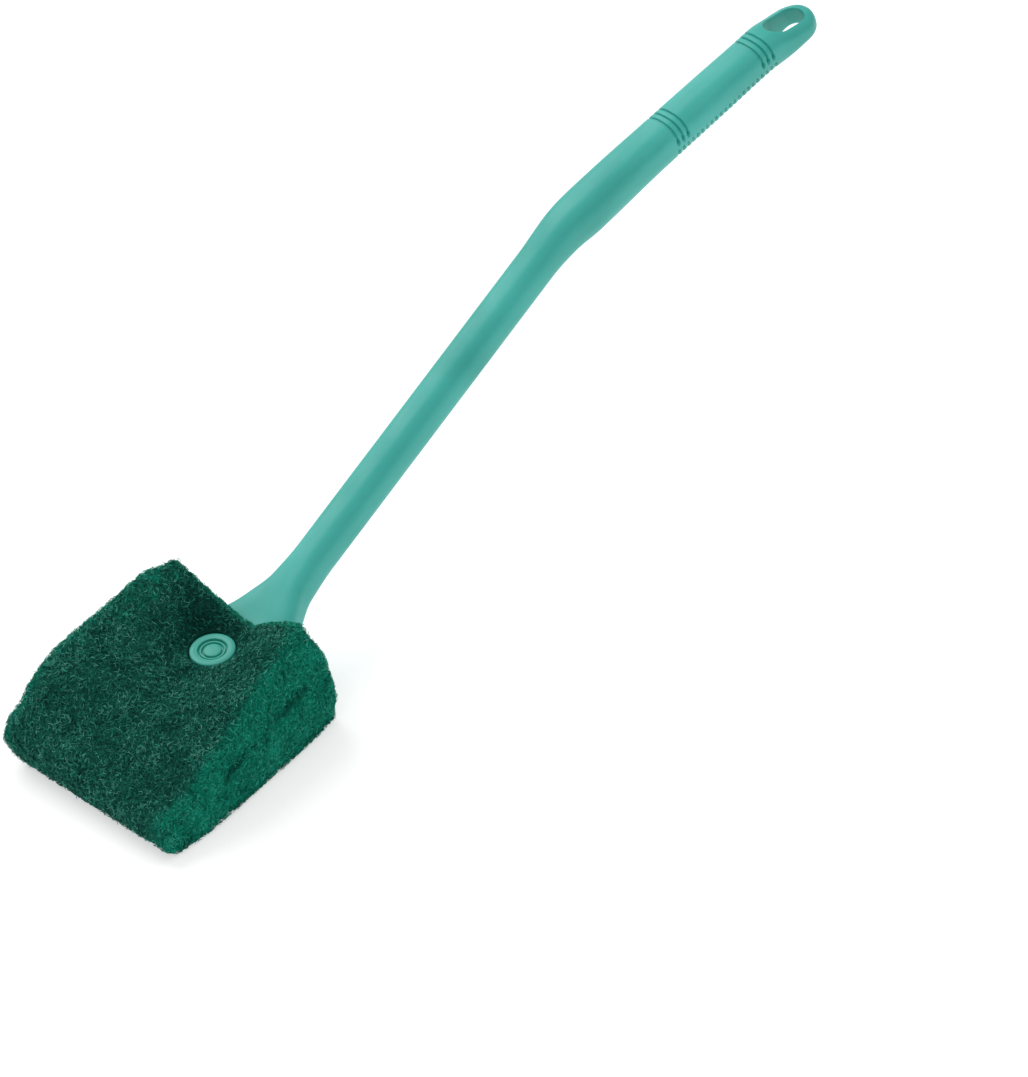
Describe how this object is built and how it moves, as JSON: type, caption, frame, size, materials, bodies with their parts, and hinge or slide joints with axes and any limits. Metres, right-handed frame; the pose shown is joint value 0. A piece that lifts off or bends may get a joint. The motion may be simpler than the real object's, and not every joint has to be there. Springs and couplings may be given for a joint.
{
  "type": "algae scraper",
  "caption": "Double-sided aquarium scraper: long bent plastic handle with a hanging loop and ribbed grip, and a scouring pad folded round its paddle and held by a snap button.",
  "frame": {"origin": "middle of the pad's flat lower working face", "axes": "+Z out of the lower working face through the pad, +Y from the pad along the handle to the hanging loop, +X across the pad"},
  "size_m": [0.0815, 0.3675, 0.1043],
  "materials": {
    "handle_plastic": "satin",
    "button_plastic": "satin",
    "pad_fibre": "matte"
  },
  "bodies": {
    "handle": {"handle": "handle_plastic", "scouring_pad": "pad_fibre"},
    "socket": {"button_socket": "button_plastic"},
    "cap": {"button_cap": "button_plastic"}
  },
  "joints": [
    {"name": "button_spin", "type": "hinge", "parent": "handle", "child": "socket", "pos_m": [0, 0.03, 0.0185], "axis": [0, 0, 1], "continuous": true},
    {"name": "button_release", "type": "slide", "parent": "socket", "child": "cap", "axis": [0, 0, 1], "range_m": [0, 0.02]}
  ]
}
